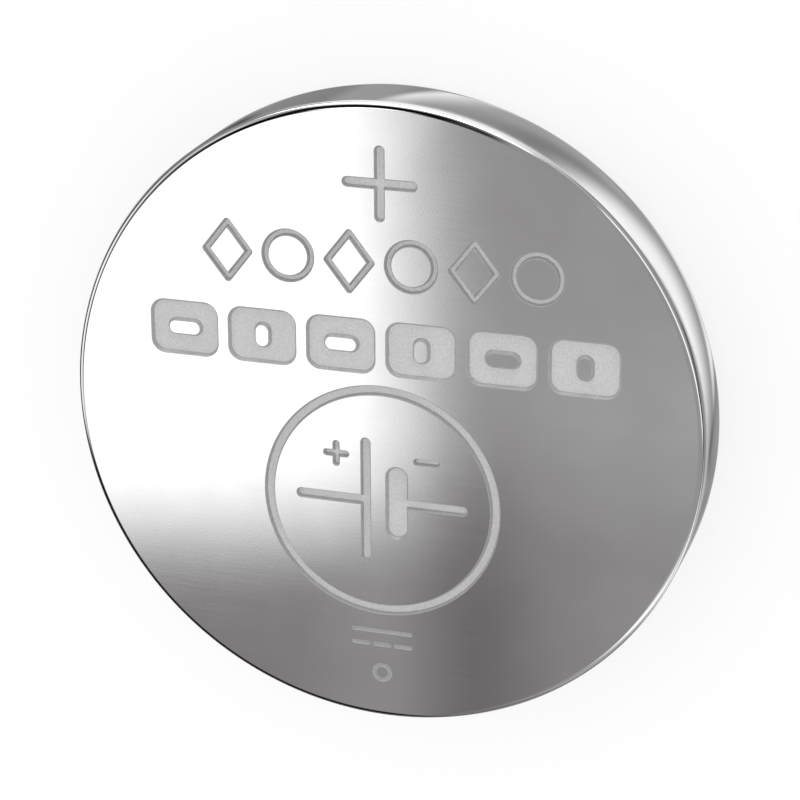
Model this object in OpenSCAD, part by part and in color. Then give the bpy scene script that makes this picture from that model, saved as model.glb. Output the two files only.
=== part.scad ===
// Lithium manganese dioxide coin cell, 20 mm across and 3.2 mm high.
// It lies on its negative contact: z = 0 is the contact plane, the Z axis is
// the axis of the cell, and the stamped positive face looks up.

/* [Cell] */
// Diameter over the positive can
cell_d = 20; // [18.5:0.1:30]
// Height between the two contact faces
cell_h = 3.2; // [2.9:0.1:6]
// Clearance between pieces that are pressed together
press_gap = 0.02; // [0.01:0.01:0.03]

/* [Positive can] */
// Steel sheet of the can
can_sheet = 0.25; // [0.2:0.01:0.3]
// Radius of the outer corner round the positive face
face_corner = 0.2; // [0.1:0.01:0.4]
// Radius of the corner between the can's floor and wall, inside
floor_corner = 0.08; // [0.05:0.01:0.2]
// Outer radius of the rim that is crimped in round the seal
crimp_radius = 1.0; // [0.9:0.01:1.1]
// Height of the crimped rim over the contact plane
crimp_lift = 0.15; // [0.1:0.01:0.25]
// Straight stretch of the crimped rim past its bend
lip_run = 0.15; // [0:0.01:0.25]

/* [Sealing gasket] */
// Wall of the gasket between can and cap
gasket_wall = 0.28; // [0.22:0.01:0.3]
// Height of the gasket's inner lip
gasket_lip_h = 0.9; // [0.5:0.05:1.2]
// Ring of gasket that shows between the crimped rim and the cap
seal_ring = 0.35; // [0.25:0.01:0.5]

/* [Negative cap] */
// Steel sheet of the cap
cap_sheet = 0.25; // [0.2:0.01:0.27]
// Outer radius of the edge round the negative contact face
cap_corner = 0.4; // [0.3:0.01:0.42]
// Radius of the bend at the foot of the cap's riser
cap_bend = 0.12; // [0.08:0.01:0.15]

/* [Electrodes] */
// Thickness of the lithium disc
anode_t = 0.6; // [0.3:0.05:0.7]
// Space round the lithium disc inside the cap
anode_play = 0.45; // [0.2:0.05:1]
// Thickness of the separator
separator_t = 0.1; // [0.05:0.01:0.15]
// Space round the separator inside the cap
separator_play = 0.1; // [0.05:0.01:0.3]
// Steel sheet of the ring that holds the cathode
ring_sheet = 0.15; // [0.1:0.01:0.2]
// Height of the ring that holds the cathode
ring_h = 1.2; // [0.6:0.05:1.4]
// Width of the ring's foot under the cathode
ring_foot = 0.7; // [0.4:0.05:1.5]
// Space between the ring and the gasket's inner lip
ring_play = 0.75; // [0.3:0.05:1.5]
// Chamfer round the edges of the pressed cathode
cathode_chamfer = 0.1; // [0.05:0.01:0.2]

/* [Stamped marks] */
// Depth of the marks stamped in the positive face
mark_depth = 0.12; // [0.05:0.01:0.15]
// Depth of the two fine marks near the edge
fine_depth = 0.04; // [0.02:0.01:0.08]
// Stroke of the polarity mark and of the ring
mark_stroke = 0.32; // [0.2:0.01:0.4]
// Stroke of the thin row
thin_stroke = 0.22; // [0.15:0.01:0.3]
// Stroke of the fine marks
fine_stroke = 0.13; // [0.1:0.01:0.2]
// Height of the polarity mark's centre over the middle of the face
plus_y = 7.53; // [7:0.01:7.7]
// Length of each arm of the polarity mark
plus_arm = 1.17; // [0.8:0.01:1.3]
// Height of the thin row's middle over the middle of the face
thin_row_y = 5.05; // [4.9:0.01:5.2]
// Height of the thin row
thin_row_h = 2.0; // [1.6:0.05:2.1]
// Marks in the thin row
thin_count = 6; // [4:2:6]
// Distance between neighbours in the thin row
thin_pitch = 1.94; // [1.85:0.01:2]
// Height of the bold row's middle over the middle of the face
bold_row_y = 2.4; // [2.3:0.01:2.6]
// Height of the bold row
bold_row_h = 1.75; // [1.6:0.05:2]
// Blocks in the bold row
bold_count = 6; // [4:2:6]
// Distance between neighbours in the bold row
bold_pitch = 2.53; // [2.5:0.01:2.6]
// Width of each block in the bold row
bold_w = 2.2; // [1.9:0.01:2.3]
// Corner radius of each block in the bold row
bold_corner = 0.45; // [0.2:0.01:0.7]
// Metal left between a block's slot and its edge
bold_stroke = 0.6; // [0.5:0.01:0.65]
// Width of the slot left standing in each block
bold_slot = 0.42; // [0.3:0.01:0.5]
// Depth of the ring's centre below the middle of the face
ring_y = 2.62; // [2.6:0.01:2.65]
// Outer radius of the ring
ring_r = 3.8; // [3.6:0.01:3.8]
// Half length of the symbol's long plate
long_plate = 1.9; // [1.5:0.05:2]
// Half length of the symbol's short plate
short_plate = 0.85; // [0.6:0.05:1.1]
// Stroke of the symbol's short plate
short_stroke = 0.72; // [0.5:0.01:0.8]
// Distance of each plate from the middle of the symbol
plate_x = 0.5; // [0.45:0.01:0.6]
// Length of the symbol's leads from the middle of the symbol
lead_x = 2.6; // [2:0.05:2.8]
// Distance of the symbol's small signs from its middle, both ways
sign_xy = 1.45; // [1.3:0.05:1.5]
// Length of each arm of the small signs
sign_arm = 0.42; // [0.3:0.01:0.5]
// Depth of the direct current mark below the middle of the face
dc_y = 7.25; // [7.15:0.01:7.4]
// Half length of the direct current mark
dc_half = 0.92; // [0.7:0.01:1]
// Distance between the two lines of the direct current mark
dc_gap = 0.46; // [0.4:0.01:0.6]
// Depth of the small ring mark below the middle of the face
dot_y = 8.45; // [8.3:0.01:8.5]
// Outer radius of the small ring mark
dot_r = 0.32; // [0.25:0.01:0.35]

/* [Hidden] */
$fn = 96;
// Overshoot of the cutting shapes past the faces that they open
over = 0.5;
cell_r = cell_d / 2;
// Inner faces of the can
can_inner_r = cell_r - can_sheet;
floor_z = cell_h - can_sheet;
// Centre of the crimped rim's bend, which the gasket and the cap share
bend_r = cell_r - crimp_radius;
bend_z = crimp_lift + crimp_radius;
lip_r = bend_r - lip_run;
// Gasket between the can's inner faces and the cap
gasket_bend = crimp_radius - can_sheet - press_gap;
gasket_outer_r = can_inner_r - press_gap;
gasket_top_z = floor_z - press_gap;
// Cap: shoulder, skirt, step and riser
shoulder_r = gasket_bend - gasket_wall - press_gap;
skirt_r = bend_r + shoulder_r;
skirt_inner_r = skirt_r - cap_sheet;
skirt_top_z = gasket_top_z - gasket_wall - press_gap;
step_z = bend_z - shoulder_r;
riser_r = lip_r - seal_ring;
riser_inner_r = riser_r - cap_sheet;
gasket_end_r = riser_r + cap_bend + press_gap;
gasket_inner_r = skirt_inner_r - press_gap - gasket_wall;
// Stack of electrodes between the cap and the can's floor
anode_r = riser_inner_r - anode_play;
separator_z = cap_sheet + anode_t;
separator_r = riser_inner_r - separator_play;
cathode_z = separator_z + separator_t;
ring_outer_r = gasket_inner_r - ring_play;
ring_inner_r = ring_outer_r - ring_sheet;
cathode_r = ring_inner_r - press_gap;
foot_inner_r = ring_inner_r - ring_foot;

// Rectangle between two corners
module box2(x0, y0, x1, y1) {
    translate([x0, y0]) square([x1 - x0, y1 - y0]);
}

// Quarter disc below and outside its centre, as the crimp's bend needs it
module lower_quarter(x, y, r) {
    intersection() {
        translate([x, y]) circle(r = r);
        box2(x, y - r, x + r, y);
    }
}

// Section of everything inside the can's outer skin
module can_outline() {
    box2(0, bend_z, cell_r, cell_h - face_corner);
    box2(0, cell_h - face_corner, cell_r - face_corner, cell_h);
    translate([cell_r - face_corner, cell_h - face_corner]) circle(r = face_corner);
    box2(0, crimp_lift, bend_r, bend_z);
    lower_quarter(bend_r, bend_z, crimp_radius);
}

// Section of the space inside the can and through its crimped rim
module can_cavity() {
    box2(0, bend_z, can_inner_r, floor_z - floor_corner);
    box2(0, floor_z - floor_corner, can_inner_r - floor_corner, floor_z);
    translate([can_inner_r - floor_corner, floor_z - floor_corner])
        circle(r = floor_corner);
    box2(0, crimp_lift + can_sheet, bend_r, bend_z);
    lower_quarter(bend_r, bend_z, crimp_radius - can_sheet);
    box2(0, crimp_lift - over, lip_r, bend_z);
}

// Straight stroke with round ends between two points
module stroke(a, b, w) {
    d = b - a;
    translate(a) circle(r = w / 2);
    translate(b) circle(r = w / 2);
    translate((a + b) / 2)
        rotate(atan2(d[1], d[0]))
            square([norm(d), w], center = true);
}

// Circle drawn with a stroke, inside its outer radius
module stroke_ring(r, w) {
    difference() {
        circle(r = r);
        circle(r = r - w);
    }
}

// Lozenge drawn with a stroke, inside its width and height
module lozenge(w, h, s) {
    x = (w - s) / 2;
    y = (h - s) / 2;
    stroke([x, 0], [0, y], s);
    stroke([0, y], [-x, 0], s);
    stroke([-x, 0], [0, -y], s);
    stroke([0, -y], [x, 0], s);
}

// Rectangle with round corners about its middle
module round_block(w, h, r) {
    square([w, h - 2 * r], center = true);
    square([w - 2 * r, h], center = true);
    for (x = [-1, 1], y = [-1, 1])
        translate([x * (w / 2 - r), y * (h / 2 - r)]) circle(r = r);
}

// Plus sign about its middle
module plus_sign(arm, s) {
    reach = arm - s / 2;
    stroke([-reach, 0], [reach, 0], s);
    stroke([0, -reach], [0, reach], s);
}

// Row of thin lozenges and rings in turn
module thin_row() {
    first = -(thin_count - 1) / 2;
    for (i = [0 : thin_count - 1])
        translate([(first + i) * thin_pitch, thin_row_y])
            if (i % 2 == 0) lozenge(thin_row_h * 0.8, thin_row_h, thin_stroke);
            else stroke_ring(thin_row_h * 0.42, thin_stroke);
}

// Row of bold blocks, each with a slot left standing, across and upright in turn
module bold_row() {
    first = -(bold_count - 1) / 2;
    across = bold_w / 2 - bold_stroke - bold_slot / 2;
    upright = bold_row_h / 2 - bold_stroke;
    for (i = [0 : bold_count - 1])
        translate([(first + i) * bold_pitch, bold_row_y])
            difference() {
                round_block(bold_w, bold_row_h, bold_corner);
                if (i % 2 == 0) stroke([-across, 0], [across, 0], bold_slot);
                else stroke([0, -upright / 2], [0, upright / 2], bold_slot);
            }
}

// Circuit symbol of a cell: long plate, short plate, leads and signs
module cell_symbol() {
    stroke([-plate_x, -long_plate], [-plate_x, long_plate], mark_stroke);
    stroke([plate_x, -short_plate], [plate_x, short_plate], short_stroke);
    stroke([-lead_x, 0], [-plate_x, 0], mark_stroke);
    stroke([plate_x, 0], [lead_x, 0], mark_stroke);
    translate([-sign_xy, sign_xy]) plus_sign(sign_arm, thin_stroke);
    translate([sign_xy, sign_xy])
        stroke([thin_stroke / 2 - sign_arm, 0], [sign_arm - thin_stroke / 2, 0], thin_stroke);
}

// Direct current mark: one line over three dashes
module dc_mark() {
    dash = dc_half / 4;
    translate([0, dc_gap / 2])
        stroke([-dc_half, 0], [dc_half, 0], fine_stroke);
    for (i = [-1 : 1])
        translate([i * (dc_half - dash), -dc_gap / 2])
            stroke([-dash, 0], [dash, 0], fine_stroke);
}

// Marks stamped deep in the positive face
module deep_marks() {
    translate([0, plus_y]) plus_sign(plus_arm, mark_stroke);
    thin_row();
    bold_row();
    translate([0, -ring_y]) {
        stroke_ring(ring_r, mark_stroke);
        cell_symbol();
    }
}

// Fine marks near the edge of the positive face
module fine_marks() {
    translate([0, -dc_y]) dc_mark();
    translate([0, -dot_y]) stroke_ring(dot_r, fine_stroke);
}

// Drawn steel can: positive face, wall and crimped rim
module positive_can() {
    color([0.78, 0.78, 0.79])
        difference() {
            rotate_extrude()
                difference() {
                    can_outline();
                    can_cavity();
                }
            translate([0, 0, cell_h - mark_depth])
                linear_extrude(height = mark_depth + over) deep_marks();
            translate([0, 0, cell_h - fine_depth])
                linear_extrude(height = fine_depth + over) fine_marks();
        }
}

// Polypropylene gasket, folded round the cap's skirt
module sealing_gasket() {
    color([0.86, 0.87, 0.85])
        rotate_extrude() {
            difference() {
                union() {
                    box2(0, bend_z, gasket_outer_r, gasket_top_z);
                    box2(0, bend_z - gasket_bend, bend_r, bend_z);
                    lower_quarter(bend_r, bend_z, gasket_bend);
                }
                box2(-over, step_z - press_gap, bend_r, bend_z);
                lower_quarter(bend_r, bend_z, shoulder_r + press_gap);
                box2(-over, bend_z, skirt_r + press_gap, skirt_top_z + press_gap);
                box2(-over, 0, gasket_end_r, bend_z);
                box2(-over, bend_z, gasket_inner_r, cell_h);
            }
            box2(gasket_inner_r, gasket_top_z - gasket_lip_h,
                 skirt_inner_r - press_gap, gasket_top_z);
        }
}

// Section of everything inside the cap's outer skin
module cap_outline() {
    box2(0, 0, riser_r - cap_corner, cap_corner);
    lower_quarter(riser_r - cap_corner, cap_corner, cap_corner);
    box2(0, cap_corner, riser_r, step_z);
    difference() {
        box2(riser_r, step_z - cap_bend, riser_r + cap_bend, step_z);
        translate([riser_r + cap_bend, step_z - cap_bend]) circle(r = cap_bend);
    }
    box2(0, step_z, bend_r, bend_z);
    lower_quarter(bend_r, bend_z, shoulder_r);
    box2(0, bend_z, skirt_r, skirt_top_z);
}

// Section of the space inside the cap
module cap_cavity() {
    box2(-over, cap_sheet, riser_r - cap_corner, cap_corner);
    lower_quarter(riser_r - cap_corner, cap_corner, cap_corner - cap_sheet);
    box2(-over, cap_corner, riser_inner_r, step_z + cap_sheet);
    difference() {
        box2(-over, step_z - cap_bend, riser_r + cap_bend, step_z + cap_sheet);
        translate([riser_r + cap_bend, step_z - cap_bend]) circle(r = cap_bend + cap_sheet);
    }
    box2(-over, step_z + cap_sheet, bend_r, bend_z);
    lower_quarter(bend_r, bend_z, shoulder_r - cap_sheet);
    box2(-over, bend_z, skirt_inner_r, skirt_top_z + over);
}

// Stepped steel cap: negative face, riser, step and skirt
module negative_cap() {
    color([0.7, 0.7, 0.71])
        rotate_extrude()
            difference() {
                cap_outline();
                cap_cavity();
            }
}

// Lithium disc on the cap's inner face
module lithium_anode() {
    color([0.62, 0.63, 0.65])
        translate([0, 0, cap_sheet]) cylinder(r = anode_r, h = anode_t);
}

// Separator between the two electrodes
module separator() {
    color("white")
        translate([0, 0, separator_z]) cylinder(r = separator_r, h = separator_t);
}

// Pressed cathode tablet, rebated for the foot of its ring
module cathode_pellet() {
    c = cathode_chamfer;
    color([0.13, 0.13, 0.14])
        rotate_extrude()
            polygon([[0, cathode_z], [cathode_r - c, cathode_z],
                     [cathode_r, cathode_z + c], [cathode_r, floor_z - ring_sheet],
                     [foot_inner_r - press_gap, floor_z - ring_sheet],
                     [foot_inner_r - press_gap, floor_z], [0, floor_z]]);
}

// Steel ring that holds the cathode against the can's floor
module cathode_ring() {
    color([0.55, 0.55, 0.57])
        rotate_extrude() {
            box2(ring_inner_r, floor_z - ring_h, ring_outer_r, floor_z);
            box2(foot_inner_r, floor_z - ring_sheet, ring_outer_r, floor_z);
        }
}

positive_can();
sealing_gasket();
negative_cap();
lithium_anode();
separator();
cathode_pellet();
cathode_ring();
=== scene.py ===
"""Lithium coin cell, 20 mm across and 3.2 mm high: looks, floor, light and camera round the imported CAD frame.

Lengths in the classes are millimetres, as in the part's source, and become metres when a piece is made.
Node sockets, cameras and pattern scales are in Blender's own units, which are metres.
"""

import logging
import math
from dataclasses import dataclass
from dataclasses import field
from dataclasses import fields
from enum import Enum

import bmesh
import bpy
from mathutils import Matrix
from mathutils import Vector

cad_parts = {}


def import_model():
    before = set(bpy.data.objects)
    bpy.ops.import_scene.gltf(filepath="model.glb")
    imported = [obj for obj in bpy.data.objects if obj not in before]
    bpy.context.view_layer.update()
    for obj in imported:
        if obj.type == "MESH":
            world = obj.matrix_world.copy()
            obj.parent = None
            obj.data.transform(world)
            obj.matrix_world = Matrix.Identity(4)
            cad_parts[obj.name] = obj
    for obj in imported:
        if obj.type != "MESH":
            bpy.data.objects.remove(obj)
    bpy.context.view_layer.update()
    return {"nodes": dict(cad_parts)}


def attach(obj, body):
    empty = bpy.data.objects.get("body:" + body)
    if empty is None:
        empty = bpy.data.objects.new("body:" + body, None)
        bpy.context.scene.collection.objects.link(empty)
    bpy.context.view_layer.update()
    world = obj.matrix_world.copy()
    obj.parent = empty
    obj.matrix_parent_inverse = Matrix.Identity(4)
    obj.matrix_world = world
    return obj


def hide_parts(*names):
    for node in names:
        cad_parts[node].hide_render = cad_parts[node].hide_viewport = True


LOG = logging.getLogger("coin_cell")
# A millimetre in metres, and a radian in degrees.
MM = 0.001
DEGREES = math.degrees(1.0)
# How near two points count as one, in mm.
WELD = 1e-5
# Angles past which an edge stays sharp, in degrees.
SHARP_FROM = 40.0
ALL_SMOOTH = 180.0
WHITE = (1.0, 1.0, 1.0)
Colour = tuple[float, float, float]
Scales = tuple[float, float, float]
Point = tuple[float, float]


class Slot(Enum):
    """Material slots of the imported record."""

    CAN = "can_steel"
    CAP = "cap_steel"
    GASKET = "gasket_plastic"


class CanZone(Enum):
    """Where a face of the can lies, which decides its finish. The value is the material index."""

    FACE = 0
    MARK_FLOOR = 1
    # Its finish is a darker copy of the stamped steel: painted shade in the recesses.
    MARK_WALL = 2
    WALL = 3


def socket_label(name: str) -> str:
    """Turns a field's name into a socket's, as near_blur into Near Blur."""
    return name.replace("_", " ").title()


class Graph:
    """Short way to place and join shader nodes in one tree."""

    def __init__(self, tree: bpy.types.NodeTree) -> None:
        """Works on a node tree.

        Args:
            tree: the material's, world's or group's tree.
        """
        self.tree = tree

    def add(self, kind: str, **settings: object) -> bpy.types.Node:
        """Places a node.

        Args:
            kind: the node's type name, without the leading ShaderNode.
            settings: its properties, such as operation.

        Returns:
            The new node.
        """
        node = self.tree.nodes.new("ShaderNode" + kind)
        for name, value in settings.items():
            setattr(node, name, value)
        return node

    def feed(self, socket: bpy.types.NodeSocket, source: object) -> None:
        """Joins a socket to an output, or sets its value.

        Args:
            socket: the input.
            source: an output socket or a plain value.
        """
        if isinstance(source, bpy.types.NodeSocket):
            self.tree.links.new(source, socket)
        else:
            socket.default_value = source

    def spot(self) -> bpy.types.NodeSocket:
        """Places the piece's own Object coordinates and returns their output."""
        return self.add("TexCoord").outputs["Object"]

    def math(self, operation: str, *values: object) -> bpy.types.NodeSocket:
        """Places a Math node.

        Args:
            operation: its operation.
            values: its inputs, as outputs or numbers.

        Returns:
            Its output.
        """
        node = self.add("Math", operation=operation)
        for socket, value in zip(node.inputs, values):
            self.feed(socket, value)
        return node.outputs[0]

    def vector(self, operation: str, *values: object) -> bpy.types.NodeOutputs:
        """Places a Vector Math node.

        Args:
            operation: its operation.
            values: its inputs, as outputs or vectors.

        Returns:
            Its outputs, Vector and Value.
        """
        node = self.add("VectorMath", operation=operation)
        for socket, value in zip(node.inputs, values):
            self.feed(socket, value)
        return node.outputs

    def ramp(self, value: object, low: object, high: object, start: float = 0.0,
             end: float = 1.0) -> bpy.types.NodeSocket:
        """Maps a value from one range to another, with smooth ends.

        Args:
            value: the value's output.
            low: where the range starts.
            high: where it ends.
            start: the result at low.
            end: the result at high.

        Returns:
            The mapped output.
        """
        node = self.add("MapRange", interpolation_type="SMOOTHSTEP")
        for name, part in (("Value", value), ("From Min", low), ("From Max", high), ("To Min", start),
                           ("To Max", end)):
            self.feed(node.inputs[name], part)
        return node.outputs["Result"]

    def blend(self, factor: object, first: object, second: object) -> bpy.types.NodeSocket:
        """Mixes two numbers.

        Args:
            factor: share of the second.
            first: the first number.
            second: the second number.

        Returns:
            The mixed output.
        """
        node = self.add("Mix", data_type="FLOAT")
        self.feed(node.inputs[0], factor)
        self.feed(node.inputs[2], first)
        self.feed(node.inputs[3], second)
        return node.outputs[0]

    def tint(self, factor: object, first: Colour, second: Colour) -> bpy.types.NodeSocket:
        """Mixes two colours.

        Args:
            factor: share of the second.
            first: the first colour.
            second: the second colour.

        Returns:
            The mixed output.
        """
        node = self.add("Mix", data_type="RGBA")
        self.feed(node.inputs[0], factor)
        node.inputs[6].default_value = (*first, 1.0)
        node.inputs[7].default_value = (*second, 1.0)
        return node.outputs[2]

    def pick(self, factor: object, first: bpy.types.Node, second: bpy.types.Node) -> bpy.types.Node:
        """Mixes two shaders.

        Args:
            factor: share of the second.
            first: the first shader's node.
            second: the second shader's node.

        Returns:
            The node with the mixed shader.
        """
        node = self.add("MixShader")
        for socket, source in zip(node.inputs, (factor, first.outputs[0], second.outputs[0])):
            self.feed(socket, source)
        return node

    def show(self, shader: bpy.types.Node) -> None:
        """Joins a shader to the material's surface."""
        self.feed(self.tree.nodes["Material Output"].inputs["Surface"], shader.outputs[0])

    def place(self, group: bpy.types.NodeTree, **values: object) -> bpy.types.Node:
        """Places a node group with its own values.

        Args:
            group: the group.
            values: its inputs by name, in small letters and with _ for a space.

        Returns:
            The group's node.
        """
        node = self.add("Group")
        node.node_tree = group
        for name, value in values.items():
            self.feed(node.inputs[socket_label(name)], value)
        return node


class GroupGraph(Graph):
    """Graph of a new node group with named number sockets."""

    def __init__(self, name: str, inputs: dict[str, float], outputs: list[str], has_vector: bool = False) -> None:
        """Starts the group.

        Args:
            name: the group's name.
            inputs: number inputs and their defaults.
            outputs: names of the number outputs.
            has_vector: whether it also takes a Vector, as its first input.
        """
        super().__init__(bpy.data.node_groups.new(name, "ShaderNodeTree"))
        sockets = self.tree.interface
        if has_vector:
            sockets.new_socket("Vector", in_out="INPUT", socket_type="NodeSocketVector")
        for label, value in inputs.items():
            sockets.new_socket(label, in_out="INPUT", socket_type="NodeSocketFloat").default_value = value
        for label in outputs:
            sockets.new_socket(label, in_out="OUTPUT", socket_type="NodeSocketFloat")
        start = self.tree.nodes.new("NodeGroupInput")
        end = self.tree.nodes.new("NodeGroupOutput")
        self.given = {socket.name: socket for socket in start.outputs if socket.name}
        self.wanted = {socket.name: socket for socket in end.inputs if socket.name}

    def noise(self, vector: object, scale: object, detail: float, roughness: float, output: str) -> None:
        """Places a noise and joins it to one of the group's outputs.

        Args:
            vector: where the noise is read.
            scale: its scale.
            detail: its detail.
            roughness: share of the finer steps.
            output: name of the group's output.
        """
        node = self.add("TexNoise")
        for name, value in (("Vector", vector), ("Scale", scale), ("Detail", detail), ("Roughness", roughness)):
            self.feed(node.inputs[name], value)
        self.feed(self.wanted[output], node.outputs[0])


class SharedEffects:
    """Shader node groups that more than one finish uses, each built once."""

    def __init__(self) -> None:
        """Builds the groups."""
        self.grain = self._grain()
        self.streaks = self._streaks()

    @staticmethod
    def _grain() -> bpy.types.NodeTree:
        """Fine satin grain of rolled or blasted metal, and slow drifts of it.

        Returns:
            The group, with Height and Drift.
        """
        graph = GroupGraph("satin grain", {"Fine Scale": 20000.0, "Drift Scale": 400.0}, ["Height", "Drift"], True)
        vector = graph.given["Vector"]
        graph.noise(vector, graph.given["Fine Scale"], 3.0, 0.65, "Height")
        graph.noise(vector, graph.given["Drift Scale"], 2.0, 0.5, "Drift")
        return graph.tree

    @staticmethod
    def _streaks() -> bpy.types.NodeTree:
        """Drawing or turning lines: a noise pulled long along one axis of the vector.

        Returns:
            The group, with Height.
        """
        pulls = {"Across X": 900.0, "Across Y": 900.0, "Across Z": 60.0}
        graph = GroupGraph("tool streaks", pulls, ["Height"], True)
        pull = graph.add("CombineXYZ")
        for socket, label in zip(pull.inputs, pulls):
            graph.feed(socket, graph.given[label])
        scaled = graph.vector("MULTIPLY", graph.given["Vector"], pull.outputs[0])
        graph.noise(scaled["Vector"], 1.0, 4.0, 0.5, "Height")
        return graph.tree


class Finish:
    """What every finish shares: a material with one Principled shader, and how its patterns join that shader."""

    effects: SharedEffects
    light: Colour
    dark: Colour
    smooth: float
    rough: float
    grain_scale: float
    drift_scale: float

    @staticmethod
    def start(name: str) -> tuple[bpy.types.Material, Graph, bpy.types.Node]:
        """Starts a material.

        Args:
            name: the material's name.

        Returns:
            The material, its graph and its Principled node.
        """
        material = bpy.data.materials.new(name)
        material.use_nodes = True
        graph = Graph(material.node_tree)
        return material, graph, material.node_tree.nodes["Principled BSDF"]

    @staticmethod
    def start_glow(name: str) -> tuple[bpy.types.Material, Graph, bpy.types.Node]:
        """Starts a material that glows and has no other shader.

        Args:
            name: the material's name.

        Returns:
            The material, its graph and its Emission node.
        """
        material, graph, shader = Finish.start(name)
        graph.tree.nodes.remove(shader)
        return material, graph, graph.add("Emission")

    def grain(self, graph: Graph, vector: bpy.types.NodeSocket) -> bpy.types.NodeOutputs:
        """Places the satin grain at the finish's own scales.

        Args:
            graph: the material's graph.
            vector: where it is read.

        Returns:
            Its outputs, Height and Drift.
        """
        return graph.place(self.effects.grain, vector=vector, fine_scale=self.grain_scale,
                           drift_scale=self.drift_scale).outputs

    def coat(self, graph: Graph, shader: bpy.types.Node, tone: bpy.types.NodeSocket, blur: bpy.types.NodeSocket,
             height: bpy.types.NodeSocket, depth: float, strength: float = 1.0) -> None:
        """Joins the finish's patterns to its shader.

        Args:
            graph: the material's graph.
            shader: its Principled node.
            tone: share of the light colour.
            blur: noise that the roughness follows.
            height: relief of the surface.
            depth: what a relief of one stands for, in metres.
            strength: share of the relief that bends the normal.
        """
        graph.feed(shader.inputs["Base Color"], graph.tint(tone, self.dark, self.light))
        graph.feed(shader.inputs["Roughness"], graph.ramp(blur, 0.3, 0.7, self.smooth, self.rough))
        bump = graph.add("Bump")
        for name, value in (("Strength", strength), ("Distance", depth), ("Height", height)):
            graph.feed(bump.inputs[name], value)
        graph.feed(shader.inputs["Normal"], bump.outputs[0])


@dataclass(frozen=True)
class RolledSteel(Finish):
    """Bright rolled steel of the positive face and of the wall: near mirror, with a fine satin grain."""

    effects: SharedEffects
    name: str = "bright_can_steel"
    light: Colour = (0.64, 0.635, 0.638)
    dark: Colour = (0.6, 0.592, 0.596)
    smooth: float = 0.05
    rough: float = 0.065
    grain_scale: float = 21000.0
    drift_scale: float = 330.0
    grain_depth: float = 0.0000002
    streak: Scales = (300.0, 9000.0, 300.0)
    line_share: float = 0.04

    def build(self) -> bpy.types.Material:
        """Makes the material.

        Returns:
            The material.
        """
        material, graph, shader = self.start(self.name)
        spot = graph.spot()
        grain = self.grain(graph, spot)
        x, y, z = self.streak
        streaks = graph.place(self.effects.streaks, vector=spot, across_x=x, across_y=y, across_z=z)
        lines = streaks.outputs["Height"]
        shader.inputs["Metallic"].default_value = 1.0
        height = graph.math("MULTIPLY_ADD", lines, self.line_share, grain["Height"])
        self.coat(graph, shader, graph.ramp(grain["Drift"], 0.35, 0.65), lines, height, self.grain_depth)
        return material


@dataclass(frozen=True)
class StampedSteel(Finish):
    """Dull steel of the stamped marks, for their floors and, darker with painted shade, for their walls."""

    effects: SharedEffects
    name: str = "stamped_steel"
    light: Colour = (0.85, 0.85, 0.85)
    dark: Colour = (0.73, 0.73, 0.73)
    metallic: float = 0.6
    smooth: float = 0.5
    rough: float = 0.62
    grain_scale: float = 15000.0
    drift_scale: float = 2500.0
    grain_depth: float = 0.000004

    def build(self) -> bpy.types.Material:
        """Makes the material.

        Returns:
            The material.
        """
        material, graph, shader = self.start(self.name)
        grain = self.grain(graph, graph.spot())
        shader.inputs["Metallic"].default_value = self.metallic
        tone = graph.ramp(grain["Height"], 0.3, 0.7)
        self.coat(graph, shader, tone, grain["Drift"], grain["Height"], self.grain_depth)
        return material


@dataclass(frozen=True)
class TurnedSteel(Finish):
    """Satin steel with fine lines round the axis, as on the pressed cap and the cathode's ring."""

    effects: SharedEffects
    name: str = "satin_cap_steel"
    light: Colour = (0.6, 0.6, 0.595)
    dark: Colour = (0.565, 0.565, 0.562)
    smooth: float = 0.18
    rough: float = 0.36
    line_scale: float = 12000.0
    grain_scale: float = 16000.0
    drift_scale: float = 420.0
    grain_depth: float = 0.0000025

    def build(self) -> bpy.types.Material:
        """Makes the material.

        Returns:
            The material.
        """
        material, graph, shader = self.start(self.name)
        spot = graph.spot()
        flat = graph.vector("MULTIPLY", spot, (1.0, 1.0, 0.0))["Vector"]
        rings = graph.add("TexNoise", noise_dimensions="1D")
        reach = graph.vector("LENGTH", flat)["Value"]
        for name, value in (("W", reach), ("Scale", self.line_scale), ("Detail", 4.0)):
            graph.feed(rings.inputs[name], value)
        lines = rings.outputs[0]
        grain = self.grain(graph, spot)
        shader.inputs["Metallic"].default_value = 1.0
        height = graph.math("MULTIPLY_ADD", grain["Height"], 0.5, lines)
        self.coat(graph, shader, graph.ramp(grain["Drift"], 0.35, 0.65), lines, height, self.grain_depth)
        return material


@dataclass(frozen=True)
class MouldedPlastic(Finish):
    """Milky moulded polypropylene of the gasket."""

    effects: SharedEffects
    name: str = "gasket_plastic"
    light: Colour = (0.72, 0.73, 0.7)
    dark: Colour = (0.6, 0.61, 0.59)
    smooth: float = 0.38
    rough: float = 0.55
    grain_scale: float = 9000.0
    drift_scale: float = 900.0
    grain_depth: float = 0.000004
    grain_strength: float = 0.6
    milk: float = 0.15
    milk_depth: float = 0.0003

    def build(self) -> bpy.types.Material:
        """Makes the material.

        Returns:
            The material.
        """
        material, graph, shader = self.start(self.name)
        grain = self.grain(graph, graph.spot())
        shader.inputs["Subsurface Weight"].default_value = self.milk
        shader.inputs["Subsurface Scale"].default_value = self.milk_depth
        tone = graph.ramp(grain["Drift"], 0.3, 0.7)
        self.coat(graph, shader, tone, grain["Height"], grain["Height"], self.grain_depth, self.grain_strength)
        return material


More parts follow.
